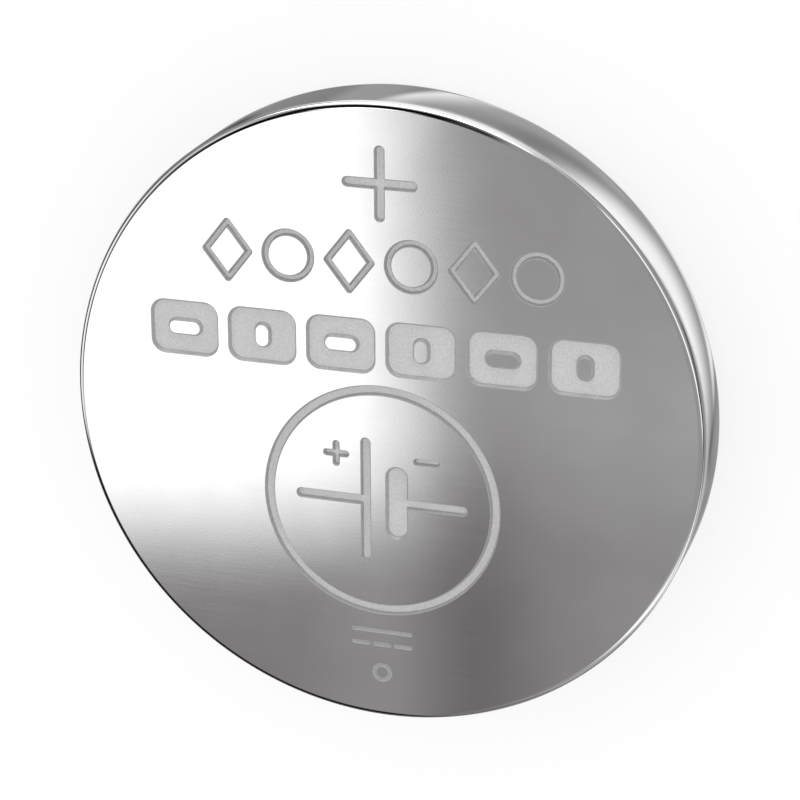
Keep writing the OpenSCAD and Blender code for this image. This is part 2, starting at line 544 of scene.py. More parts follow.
@dataclass(frozen=True)
class PressedPowder(Finish):
    """Matt speckled finish of a pressed or fibrous disc inside the cell."""

    effects: SharedEffects
    name: str
    light: Colour
    dark: Colour
    smooth: float = 0.6
    rough: float = 0.9
    metallic: float = 0.0
    grain_scale: float = 7000.0
    drift_scale: float = 600.0
    depth: float = 0.00002
    stretch: Scales = (1.0, 1.0, 1.0)

    def build(self) -> bpy.types.Material:
        """Makes the material.

        Returns:
            The material.
        """
        material, graph, shader = self.start(self.name)
        pull = graph.add("Mapping")
        graph.feed(pull.inputs["Vector"], graph.spot())
        pull.inputs["Scale"].default_value = self.stretch
        grain = self.grain(graph, pull.outputs[0])
        speck = graph.add("TexVoronoi")
        graph.feed(speck.inputs["Vector"], pull.outputs[0])
        speck.inputs["Scale"].default_value = self.grain_scale * 0.6
        shader.inputs["Metallic"].default_value = self.metallic
        share = graph.math("MULTIPLY_ADD", speck.outputs["Distance"], 0.5, grain["Drift"])
        self.coat(graph, shader, graph.ramp(share, 0.45, 0.95), grain["Height"], grain["Height"], self.depth)
        return material


@dataclass(frozen=True)
class Corner:
    """One corner of a turned section."""

    r: float
    z: float
    rounding: float = 0.0
    segments: int = 1


class Maker:
    """Turns bmesh work into finished pieces."""

    @staticmethod
    def turn(corners: list[Corner], steps: int) -> bmesh.types.BMesh:
        """Turns a closed section round the Z axis.

        Args:
            corners: the section's corners in order, in mm.
            steps: steps round the axis.

        Returns:
            The closed shell, in mm.
        """
        work = bmesh.new()
        points = [work.verts.new((corner.r, 0.0, corner.z)) for corner in corners]
        work.faces.new(points)
        for point, corner in zip(points, corners):
            if corner.rounding > 0.0:
                bmesh.ops.bevel(work, geom=[point], offset=corner.rounding, offset_type="OFFSET",
                                segments=corner.segments, profile=0.5, affect="VERTICES", material=-1,
                                clamp_overlap=False)
        bmesh.ops.delete(work, geom=work.faces[:], context="FACES_ONLY")
        on_axis = [edge for edge in work.edges if all(abs(v.co.x) < WELD for v in edge.verts)]
        bmesh.ops.delete(work, geom=on_axis, context="EDGES")
        bmesh.ops.spin(work, geom=work.verts[:] + work.edges[:], cent=(0.0, 0.0, 0.0), axis=(0.0, 0.0, 1.0),
                       dvec=(0.0, 0.0, 0.0), angle=2.0 * math.pi, steps=steps, use_merge=True,
                       use_normal_flip=False, use_duplicate=False)
        bmesh.ops.remove_doubles(work, verts=work.verts[:], dist=WELD)
        bmesh.ops.recalc_face_normals(work, faces=work.faces[:])
        return work

    @staticmethod
    def merge_flat(work: bmesh.types.BMesh, z: float, reach: float) -> None:
        """Joins the wedges of a flat disc round the axis into one face.

        Args:
            work: the shell, in mm.
            z: the disc's height.
            reach: the disc's radius at most.
        """
        wedges = [face for face in work.faces
                  if all(abs(v.co.z - z) < WELD and v.co.xy.length < reach for v in face.verts)]
        bmesh.ops.dissolve_faces(work, faces=wedges, use_verts=True)

    @staticmethod
    def finish_mesh(work: bmesh.types.BMesh, name: str, edge_angle: float = ALL_SMOOTH) -> bpy.types.Object:
        """Turns a bmesh in mm into a smooth-shaded object in metres at the origin.

        Args:
            work: the bmesh, which is freed.
            name: the object's name.
            edge_angle: angle past which an edge stays sharp, in degrees.

        Returns:
            The object, linked to the scene.
        """
        bmesh.ops.scale(work, vec=(MM, MM, MM), verts=work.verts[:])
        for face in work.faces:
            face.smooth = True
        limit = math.radians(edge_angle)
        for edge in work.edges:
            edge.smooth = not (len(edge.link_faces) == 2 and edge.calc_face_angle() > limit)
        mesh = bpy.data.meshes.new(name)
        work.to_mesh(mesh)
        work.free()
        piece = bpy.data.objects.new(name, mesh)
        bpy.context.scene.collection.objects.link(piece)
        return piece

    @staticmethod
    def leave_to_reflections(piece: bpy.types.Object) -> None:
        """Hides a piece of the stage from all but reflections.

        Args:
            piece: the piece.
        """
        piece.visible_camera = False
        piece.visible_diffuse = False
        piece.visible_shadow = False

    @staticmethod
    def log(piece: bpy.types.Object) -> None:
        """Reports a piece and its number of triangles.

        Args:
            piece: the piece.
        """
        count = sum(len(face.vertices) - 2 for face in piece.data.polygons)
        LOG.info("%s: %d triangles", piece.name, count)


@dataclass(frozen=True)
class Recess:
    """Section of a stamped recess: a rounded edge, a drafted wall and a rounded foot."""

    depth: float
    wall_angle: float
    edge_radius: float
    foot_radius: float
    edge_steps: int = 3
    foot_steps: int = 2
    lead: float = 0.012

    @property
    def grow(self) -> float:
        """How far the widest outline lies outside the nominal one."""
        return 0.5 * self.edge_radius * math.sin(math.radians(self.wall_angle)) + self.lead

    @property
    def rise(self) -> float:
        """How far the tool starts above the face, so that it cuts the face at a clear angle."""
        half_step = 0.5 * math.radians(self.wall_angle) / self.edge_steps
        return self.lead * math.tan(half_step)

    def steps(self) -> list[Point]:
        """Works out the insets from the widest outline to the floor.

        Returns:
            Pairs of run and drop.
        """
        angle = math.radians(self.wall_angle)
        edge = self._arc(self.edge_radius, angle, self.edge_steps)
        foot = self._arc(self.foot_radius, angle, self.foot_steps)
        fall = self.depth - (self.edge_radius + self.foot_radius) * (1.0 - math.cos(angle))
        return [(self.lead, self.rise), *edge, (fall / math.tan(angle), fall), *reversed(foot)]

    @staticmethod
    def _arc(radius: float, angle: float, steps: int) -> list[Point]:
        """Works out the steps of a rounding that starts flat.

        Args:
            radius: its radius.
            angle: the slope that it ends at, in radians.
            steps: its steps.

        Returns:
            Pairs of run and drop.
        """
        slopes = [angle * k / steps for k in range(steps + 1)]
        return [(radius * (math.sin(b) - math.sin(a)), radius * (math.cos(a) - math.cos(b)))
                for a, b in zip(slopes, slopes[1:])]


class StampTool:
    """Punch that cuts the marks out of the positive face.

    It stands TOP above the face. Points of an outline nearer than MELT become one.
    """

    TOP = 0.4
    CORNER_STEPS = 9
    MELT = 0.002

    def __init__(self, face_z: float) -> None:
        """Starts an empty punch.

        Args:
            face_z: height of the face, in mm.
        """
        self.face_z = face_z
        self.work = bmesh.new()

    def _outline(self, width: float, height: float, radius: float) -> list[bmesh.types.BMVert]:
        """Draws a rectangle with round corners about the origin.

        Args:
            width: its width.
            height: its height.
            radius: its corner radius.

        Returns:
            The outline's vertices, all of one face.
        """
        before = set(self.work.verts)
        made = bmesh.ops.create_grid(self.work, x_segments=1, y_segments=1, size=0.5)
        bmesh.ops.scale(self.work, vec=(width, height, 1.0), verts=made["verts"])
        reach = min(radius, 0.5 * min(width, height))
        bmesh.ops.bevel(self.work, geom=made["verts"], offset=reach, offset_type="OFFSET", affect="VERTICES",
                        segments=self.CORNER_STEPS, profile=0.5, material=-1, clamp_overlap=True)
        drawn = [vert for vert in self.work.verts if vert not in before]
        bmesh.ops.remove_doubles(self.work, verts=drawn, dist=self.MELT)
        return [vert for vert in self.work.verts if vert not in before]

    def _sink(self, verts: list[bmesh.types.BMVert], recess: Recess, centre: Point, turn: float,
              floor_zone: CanZone) -> None:
        """Makes the punch over a flat outline: a block above the face and the stepped section below it.

        Args:
            verts: the outline's vertices.
            recess: the section.
            centre: where the mark stands.
            turn: its turn about Z, in degrees.
            floor_zone: finish of the recess's floor.
        """
        faces = list(dict.fromkeys(face for vert in verts for face in vert.link_faces))
        place = Matrix.Translation((*centre, self.face_z + recess.rise))
        matrix = place @ Matrix.Rotation(math.radians(turn), 4, "Z")
        bmesh.ops.transform(self.work, matrix=matrix, verts=verts)
        edges = list(dict.fromkeys(edge for face in faces for edge in face.edges))
        made = bmesh.ops.extrude_face_region(self.work, geom=faces + edges + verts, use_keep_orig=True)
        lifted = [item for item in made["geom"] if isinstance(item, bmesh.types.BMVert)]
        bmesh.ops.translate(self.work, vec=(0.0, 0.0, self.TOP), verts=lifted)
        shell = list(dict.fromkeys(face for vert in verts + lifted for face in vert.link_faces))
        bmesh.ops.recalc_face_normals(self.work, faces=shell)
        for face in shell:
            face.material_index = CanZone.MARK_WALL.value
        for run, drop in recess.steps():
            bmesh.ops.inset_region(self.work, faces=faces, use_boundary=True, use_even_offset=True,
                                   thickness=run, depth=drop)
        for face in faces:
            face.material_index = floor_zone.value

    def bar(self, start: Point, end: Point, stroke: float, recess: Recess,
            floor_zone: CanZone = CanZone.MARK_FLOOR) -> None:
        """Adds a straight stroke with round ends.

        Args:
            start: one end's centre.
            end: the other end's centre.
            stroke: its width.
            recess: its section.
            floor_zone: finish of its floor.
        """
        run = Vector((end[0] - start[0], end[1] - start[1]))
        width = stroke + 2.0 * recess.grow
        verts = self._outline(run.length + width, width, 0.5 * width)
        centre = (0.5 * (start[0] + end[0]), 0.5 * (start[1] + end[1]))
        self._sink(verts, recess, centre, math.degrees(math.atan2(run.y, run.x)), floor_zone)

    def slotted_block(self, centre: Point, size: Point, radius: float,
                      slot: Point, recess: Recess) -> None:
        """Adds a block with round corners, in which a slot is left standing.

        Args:
            centre: the block's middle.
            size: its width and height.
            radius: its corner radius.
            slot: the slot's whole width and height.
            recess: its section.
        """
        grow = recess.grow
        outer = self._outline(size[0] + 2.0 * grow, size[1] + 2.0 * grow, radius + grow)
        narrow = 0.5 * min(slot) - grow
        inner = self._outline(slot[0] - 2.0 * grow, slot[1] - 2.0 * grow, narrow)
        faces = list(dict.fromkeys(face for vert in outer + inner for face in vert.link_faces))
        bmesh.ops.delete(self.work, geom=faces, context="FACES_ONLY")
        edges = list(dict.fromkeys(edge for vert in outer + inner for edge in vert.link_edges))
        bmesh.ops.bridge_loops(self.work, edges=edges)
        self._sink(outer + inner, recess, centre, 0.0, CanZone.MARK_FLOOR)

    def ring(self, centre: Point, radius: float, stroke: float, recess: Recess, segments: int,
             floor_zone: CanZone = CanZone.MARK_FLOOR) -> None:
        """Adds a ring.

        Args:
            centre: its middle.
            radius: its outer radius.
            stroke: its width.
            recess: its section.
            segments: steps round it.
            floor_zone: finish of its floor.
        """
        verts = []
        for reach in (radius + recess.grow, radius - stroke - recess.grow):
            made = bmesh.ops.create_circle(self.work, cap_ends=False, segments=segments, radius=reach)
            verts.extend(made["verts"])
        edges = list(dict.fromkeys(edge for vert in verts for edge in vert.link_edges))
        bmesh.ops.bridge_loops(self.work, edges=edges)
        self._sink(verts, recess, centre, 0.0, floor_zone)

    def build(self) -> bpy.types.Object:
        """Turns the punch into an object, in metres.

        Returns:
            The punch.
        """
        return Maker.finish_mesh(self.work, "stamp_tool")


@dataclass
class StampedMarks:
    """Generic marks of the positive face, with the sizes of the part's source."""

    face_z: float = 3.2
    mark_stroke: float = 0.32
    thin_stroke: float = 0.22
    fine_stroke: float = 0.13
    plus_y: float = 7.53
    plus_arm: float = 1.17
    thin_row_y: float = 5.05
    thin_row_h: float = 2.0
    thin_count: int = 6
    thin_pitch: float = 1.94
    lozenge_w: float = 1.6
    thin_ring_r: float = 0.84
    thin_ring_steps: int = 64
    bold_row_y: float = 2.4
    bold_row_h: float = 1.75
    bold_count: int = 6
    bold_pitch: float = 2.53
    bold_w: float = 2.2
    bold_corner: float = 0.45
    bold_stroke: float = 0.6
    bold_slot: float = 0.42
    ring_y: float = 2.62
    ring_r: float = 3.8
    ring_steps: int = 192
    long_plate: float = 1.9
    short_plate: float = 0.85
    short_stroke: float = 0.72
    plate_x: float = 0.5
    lead_x: float = 2.6
    sign_xy: float = 1.45
    sign_arm: float = 0.42
    dc_y: float = 7.25
    dc_half: float = 0.92
    dc_gap: float = 0.46
    dot_y: float = 8.45
    dot_r: float = 0.32
    dot_steps: int = 40
    deep: Recess = Recess(depth=0.12, wall_angle=66.0, edge_radius=0.025, foot_radius=0.02)
    narrow: Recess = Recess(depth=0.12, wall_angle=74.0, edge_radius=0.02, foot_radius=0.02)
    fine: Recess = Recess(depth=0.04, wall_angle=50.0, edge_radius=0.02, foot_radius=0.02)

    def tool(self) -> bpy.types.Object:
        """Builds the punch with every mark.

        Returns:
            The punch.
        """
        tool = StampTool(self.face_z)
        self._plus(tool, (0.0, self.plus_y), self.plus_arm, self.mark_stroke, self.narrow)
        self._thin_row(tool)
        self._bold_row(tool)
        self._ring_and_symbol(tool)
        self._fine_marks(tool)
        return tool.build()

    @staticmethod
    def _plus(tool: StampTool, centre: Point, arm: float, stroke: float, recess: Recess) -> None:
        """Adds a plus sign.

        Args:
            tool: the punch.
            centre: its middle.
            arm: how far its arms reach.
            stroke: their width.
            recess: their section.
        """
        x, y = centre
        reach = arm - 0.5 * stroke
        tool.bar((x - reach, y), (x + reach, y), stroke, recess)
        tool.bar((x, y - reach), (x, y + reach), stroke, recess)

    def _thin_row(self, tool: StampTool) -> None:
        """Adds the row of thin lozenges and rings in turn."""
        first = -0.5 * (self.thin_count - 1)
        y = self.thin_row_y
        half_w = 0.5 * (self.lozenge_w - self.thin_stroke)
        half_h = 0.5 * (self.thin_row_h - self.thin_stroke)
        for i in range(self.thin_count):
            x = (first + i) * self.thin_pitch
            if i % 2 == 0:
                tips = [(x + half_w, y), (x, y + half_h), (x - half_w, y), (x, y - half_h)]
                for k in range(4):
                    tool.bar(tips[k], tips[(k + 1) % 4], self.thin_stroke, self.narrow)
            else:
                tool.ring((x, y), self.thin_ring_r, self.thin_stroke, self.narrow, self.thin_ring_steps)

    def _bold_row(self, tool: StampTool) -> None:
        """Adds the row of bold blocks, each with a slot left standing, across and upright in turn."""
        first = -0.5 * (self.bold_count - 1)
        across = (self.bold_w - 2.0 * self.bold_stroke, self.bold_slot)
        upright = (self.bold_slot, 0.5 * self.bold_row_h - self.bold_stroke + self.bold_slot)
        for i in range(self.bold_count):
            centre = ((first + i) * self.bold_pitch, self.bold_row_y)
            slot = across if i % 2 == 0 else upright
            tool.slotted_block(centre, (self.bold_w, self.bold_row_h), self.bold_corner, slot, self.deep)

    def _ring_and_symbol(self, tool: StampTool) -> None:
        """Adds the ring and, inside it, the circuit symbol of a cell."""
        y = -self.ring_y
        tool.ring((0.0, y), self.ring_r, self.mark_stroke, self.narrow, self.ring_steps)
        tool.bar((-self.plate_x, y - self.long_plate), (-self.plate_x, y + self.long_plate), self.mark_stroke,
                 self.narrow)
        tool.bar((self.plate_x, y - self.short_plate), (self.plate_x, y + self.short_plate), self.short_stroke,
                 self.deep)
        tool.bar((-self.lead_x, y), (-self.plate_x, y), self.mark_stroke, self.narrow)
        tool.bar((self.plate_x, y), (self.lead_x, y), self.mark_stroke, self.narrow)
        self._plus(tool, (-self.sign_xy, y + self.sign_xy), self.sign_arm, self.thin_stroke, self.narrow)
        reach = self.sign_arm - 0.5 * self.thin_stroke
        tool.bar((self.sign_xy - reach, y + self.sign_xy), (self.sign_xy + reach, y + self.sign_xy),
                 self.thin_stroke, self.narrow)

    def _fine_marks(self, tool: StampTool) -> None:
        """Adds the shallow direct current mark and the small ring near the edge."""
        dash = 0.25 * self.dc_half
        line_y = 0.5 * self.dc_gap - self.dc_y
        dash_y = -0.5 * self.dc_gap - self.dc_y
        # These shallow marks' floors take the darker mark-wall steel, with its painted shade.
        tool.bar((-self.dc_half, line_y), (self.dc_half, line_y), self.fine_stroke, self.fine, CanZone.MARK_WALL)
        for i in (-1, 0, 1):
            x = i * (self.dc_half - dash)
            tool.bar((x - dash, dash_y), (x + dash, dash_y), self.fine_stroke, self.fine, CanZone.MARK_WALL)
        tool.ring((0.0, -self.dot_y), self.dot_r, self.fine_stroke, self.fine, self.dot_steps, CanZone.MARK_WALL)


@dataclass
class PositiveCan:
    """Drawn steel can: stamped positive face, wall and crimped rim.

    A corner hold above and below the wall keeps the roundings' shading off it.
    """

    effects: SharedEffects
    radius: float = 10.0
    height: float = 3.2
    sheet: float = 0.25
    face_corner: float = 0.2
    crimp_radius: float = 1.0
    crimp_lift: float = 0.15
    lip_radius: float = 8.85
    floor_corner: float = 0.08
    lip_corner: float = 0.06
    hold: float = 0.005
    steps: int = 256
    marks: StampedMarks = field(default_factory=StampedMarks)

    def build(self) -> bpy.types.Object:
        """Builds the can and dresses it.

        Returns:
            The can, riding on the root in place of its CAD node.
        """
        inner_r = self.radius - self.sheet
        floor_z = self.height - self.sheet
        lip_top = self.crimp_lift + self.sheet
        corners = [
            Corner(0.0, floor_z),
            Corner(0.0, self.height),
            Corner(self.radius, self.height, self.face_corner, 20),
            Corner(self.radius, self.height - self.face_corner - self.hold),
            Corner(self.radius, self.crimp_lift + self.crimp_radius + self.hold),
            Corner(self.radius, self.crimp_lift, self.crimp_radius, 20),
            Corner(self.lip_radius, self.crimp_lift, self.lip_corner, 4),
            Corner(self.lip_radius, lip_top, self.lip_corner, 4),
            Corner(inner_r, lip_top, self.crimp_radius - self.sheet, 12),
            Corner(inner_r, floor_z, self.floor_corner, 3),
        ]
        work = Maker.turn(corners, self.steps)
        Maker.merge_flat(work, self.height, self.radius)
        Maker.merge_flat(work, floor_z, self.radius)
        for face in work.faces:
            middle = face.calc_center_median()
            on_face = middle.z > self.height - self.face_corner
            face.material_index = CanZone.FACE.value if on_face else CanZone.WALL.value
        can = Maker.finish_mesh(work, "stamped_can", SHARP_FROM)
        self._stamp(can)
        self._flatten_shading(can)
        for finish in (
            RolledSteel(self.effects),
            StampedSteel(self.effects),
            # The marks' walls take a darker, less metallic copy of the stamped steel: painted shade in the
            # recesses.
            StampedSteel(self.effects, name="mark_wall_painted_shade_steel", light=(0.41, 0.41, 0.41), dark=(0.33, 0.33, 0.33),
                         metallic=0.1),
            RolledSteel(self.effects, name="drawn_wall_steel", streak=(4000.0, 4000.0, 120.0), line_share=0.5),
        ):
            can.data.materials.append(finish.build())
        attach(can, "root")
        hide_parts("positive_can")
        Maker.log(can)
        return can

    def _stamp(self, can: bpy.types.Object) -> None:
        """Cuts the marks into the face.

        Args:
            can: the can.
        """
        tool = self.marks.tool()
        cut = can.modifiers.new("stamp", "BOOLEAN")
        cut.operation = "DIFFERENCE"
        cut.solver = "EXACT"
        cut.use_self = True
        cut.material_mode = "INDEX"
        cut.object = tool
        bpy.context.view_layer.update()
        seen = can.evaluated_get(bpy.context.evaluated_depsgraph_get())
        stamped = bpy.data.meshes.new_from_object(seen)
        can.modifiers.clear()
        plain = can.data
        can.data = stamped
        stamped.name = can.name
        bpy.data.meshes.remove(plain)
        bpy.data.objects.remove(tool)

    def _flatten_shading(self, can: bpy.types.Object) -> None:
        """Keeps the flat face a true mirror beside its rounded edges.

        Args:
            can: the can.
        """
        top = self.height * MM
        for face in can.data.polygons:
            heights = [can.data.vertices[i].co.z for i in face.vertices]
            face.use_smooth = not all(abs(z - top) < WELD * MM for z in heights)


@dataclass
class SealingGasket:
    """Folded polypropylene gasket between the can and the cap."""

    effects: SharedEffects
    outer_r: float = 9.73
    top_z: float = 2.93
    foot_z: float = 0.42
    end_r: float = 8.64
    pocket_z: float = 0.7
    pocket_r: float = 9.45
    pocket_top_z: float = 2.65
    lip_outer_r: float = 9.16
    lip_inner_r: float = 8.88
    lip_end_z: float = 2.03
    foot_bend: float = 0.73
    pocket_bend: float = 0.45
    end_edge: float = 0.06
    top_edge: float = 0.05
    inner_edge: float = 0.04
    pocket_edge: float = 0.03
    steps: int = 192

    def build(self) -> bpy.types.Object:
        """Builds the gasket and dresses it.

        Returns:
            The gasket, riding on the root in place of its CAD node.
        """
        corners = [
            Corner(self.lip_inner_r, self.top_z, self.inner_edge, 2),
            Corner(self.outer_r, self.top_z, self.top_edge, 2),
            Corner(self.outer_r, self.foot_z, self.foot_bend, 14),
            Corner(self.end_r, self.foot_z, self.end_edge, 4),
            Corner(self.end_r, self.pocket_z, self.end_edge, 4),
            Corner(self.pocket_r, self.pocket_z, self.pocket_bend, 10),
            Corner(self.pocket_r, self.pocket_top_z, self.pocket_edge, 2),
            Corner(self.lip_outer_r, self.pocket_top_z, self.pocket_edge, 2),
            Corner(self.lip_outer_r, self.lip_end_z, self.top_edge, 2),
            Corner(self.lip_inner_r, self.lip_end_z, self.top_edge, 2),
        ]
        gasket = Maker.finish_mesh(Maker.turn(corners, self.steps), "folded_gasket", SHARP_FROM)
        gasket.data.materials.append(MouldedPlastic(self.effects).build())
        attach(gasket, "root")
        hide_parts("sealing_gasket")
        Maker.log(gasket)
        return gasket


@dataclass
class NegativeCap:
    """Pressed steel cap: negative face, riser, step and skirt."""

    effects: SharedEffects
    sheet: float = 0.25
    riser_r: float = 8.5
    corner: float = 0.4
    bend: float = 0.12
    step_z: float = 0.72
    shoulder: float = 0.43
    skirt_r: float = 9.43
    skirt_top_z: float = 2.63
    skirt_edge: float = 0.04
    steps: int = 192

    def build(self) -> bpy.types.Object:
        """Builds the cap and dresses it.

        Returns:
            The cap, riding on the root in place of its CAD node.
        """
        inner_r = self.riser_r - self.sheet
        skirt_in = self.skirt_r - self.sheet
        step_top = self.step_z + self.sheet
        corners = [
            Corner(0.0, self.sheet),
            Corner(0.0, 0.0),
            Corner(self.riser_r, 0.0, self.corner, 10),
            Corner(self.riser_r, self.step_z, self.bend, 5),
            Corner(self.skirt_r, self.step_z, self.shoulder, 10),
            Corner(self.skirt_r, self.skirt_top_z, self.skirt_edge, 2),
            Corner(skirt_in, self.skirt_top_z, self.skirt_edge, 2),
            Corner(skirt_in, step_top, self.shoulder - self.sheet, 6),
            Corner(inner_r, step_top, self.bend + self.sheet, 6),
            Corner(inner_r, self.sheet, self.corner - self.sheet, 5),
        ]
        cap = Maker.finish_mesh(Maker.turn(corners, self.steps), "pressed_cap", SHARP_FROM)
        cap.data.materials.append(TurnedSteel(self.effects).build())
        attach(cap, "root")
        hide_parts("negative_cap")
        Maker.log(cap)
        return cap


@dataclass
class Electrodes:
    """The discs and the ring sealed inside the cell, which keep their CAD meshes."""

    effects: SharedEffects
    nodes: dict[str, bpy.types.Object]

    def dress(self) -> None:
        """Gives each CAD node its finish."""
        finishes = {
            "lithium_anode": PressedPowder(
                self.effects, "lithium", light=(0.72, 0.72, 0.74), dark=(0.48, 0.48, 0.52), smooth=0.35, rough=0.6,
                metallic=1.0, grain_scale=3000.0, depth=0.000008),
            "separator": PressedPowder(
                self.effects, "separator_fleece", light=(0.86, 0.85, 0.82), dark=(0.7, 0.69, 0.66), smooth=0.8,
                rough=0.95, grain_scale=5000.0, stretch=(0.3, 1.0, 1.0)),
            "cathode_pellet": PressedPowder(
                self.effects, "cathode_black", light=(0.055, 0.055, 0.06), dark=(0.018, 0.018, 0.02), smooth=0.55,
                rough=0.85),
            "cathode_ring": TurnedSteel(self.effects, name="ring_steel", light=(0.58, 0.58, 0.57)),
        }
        for name, finish in finishes.items():
            node = self.nodes[name]
            node.data.materials.clear()
            node.data.materials.append(finish.build())
            LOG.info("%s: CAD node with its own finish", name)


@dataclass(frozen=True)
class Panel:
    """What every panel of the studio has: a name and a level of light, 1 for white."""

    name: str
    level: float

    @classmethod
    def sockets(cls) -> dict[str, float]:
        """Names and defaults of the inputs that a panel's mask group needs."""
        return {socket_label(item.name): 0.0 for item in fields(cls) if item.name not in ("name", "level")}

    def sizes(self) -> dict[str, float]:
        """The panel's own values of those inputs."""
        return {name: value for name, value in vars(self).items() if name not in ("name", "level")}


@dataclass(frozen=True)
class SoftPanel(Panel):
    """One soft patch of light or shade, by its angle round an axis in degrees and its reach from it.

    Its sides lie side degrees from its middle. With a lean, its near and far edges move out by that much with
    each degree of angle.
    """

    middle: float
    side: float
    side_blur: float
    near: float
    near_blur: float
    far: float
    far_blur: float
    lean: float = 0.0


@dataclass(frozen=True)
class CeilingPanel(Panel):
    """One soft patch overhead. Its edges are given in mm where their reflection meets the face in the picture."""

    left: float
    left_blur: float
    right: float
    right_blur: float
    lower: float
    lower_blur: float
    upper: float
    upper_blur: float
    lean: float = 0.0


class PanelMasks:
    """Node groups that turn a place on the studio's cloth or on the painted reflection card into the mask of a
    panel.
    """

    def __init__(self) -> None:
        """Builds the groups."""
        self.around = self._around()
        self.overhead = self._overhead()

    @staticmethod
    def _edge(graph: GroupGraph, value: bpy.types.NodeSocket, name: str, rising: bool) -> bpy.types.NodeSocket:
        """Soft edge about a place.

        Args:
            graph: the group's graph.
            value: the coordinate.
            name: the input with the edge's place. The one of that name with Blur gives half its width.
            rising: whether the mask grows with the coordinate.

        Returns:
            The edge's mask.
        """
        place = graph.given[name]
        blur = graph.given[name + " Blur"]
        ends = (0.0, 1.0) if rising else (1.0, 0.0)
        return graph.ramp(value, graph.math("SUBTRACT", place, blur), graph.math("ADD", place, blur), *ends)

    @staticmethod
    def _join(graph: GroupGraph, *edges: bpy.types.NodeSocket) -> bpy.types.NodeTree:
        """Ends a group with the product of its edges.

        Args:
            graph: the group's graph.
            edges: the masks of its edges.

        Returns:
            The group.
        """
        mask = edges[0]
        for edge in edges[1:]:
            mask = graph.math("MULTIPLY", mask, edge)
        graph.feed(graph.wanted["Mask"], mask)
        return graph.tree

    @classmethod
    def _around(cls) -> bpy.types.NodeTree:
        """Builds the mask of a panel given by angle and reach.

        Returns:
            The group.
        """
        graph = GroupGraph("panel around", {"Angle": 0.0, "Reach": 0.0, **SoftPanel.sockets()}, ["Mask"])
        given = graph.given
        turned = graph.math("WRAP", graph.math("SUBTRACT", given["Angle"], given["Middle"]), 180.0, -180.0)
        reach = graph.math("SUBTRACT", given["Reach"], graph.math("MULTIPLY", turned, given["Lean"]))
        return cls._join(graph, cls._edge(graph, graph.math("ABSOLUTE", turned), "Side", False),
                         cls._edge(graph, reach, "Near", True), cls._edge(graph, reach, "Far", False))

    @classmethod
    def _overhead(cls) -> bpy.types.NodeTree:
        """Builds the mask of a panel given by four edges.

        Returns:
            The group.
        """
        graph = GroupGraph("panel overhead", {"X": 0.0, "Y": 0.0, **CeilingPanel.sockets()}, ["Mask"])
        x, y = graph.given["X"], graph.given["Y"]
        tilted = graph.math("MULTIPLY_ADD", x, graph.given["Lean"], y)
        return cls._join(graph, cls._edge(graph, x, "Left", True), cls._edge(graph, x, "Right", False),
                         cls._edge(graph, tilted, "Lower", True), cls._edge(graph, y, "Upper", False))

    @staticmethod
    def lay(graph: Graph, group: bpy.types.NodeTree, level: object, panels: list[Panel],
            **place: bpy.types.NodeSocket) -> object:
        """Lays panels over a level of light, each over the ones before.

        Args:
            graph: the material's graph.
            group: the mask group of such panels.
            level: the level under them.
            panels: the panels.
            place: the coordinates that the group takes, by name.

        Returns:
            The level with the panels on it.
        """
        for panel in panels:
            mask = graph.place(group, **place, **panel.sizes()).outputs["Mask"]
            level = graph.blend(mask, level, panel.level)
        return level


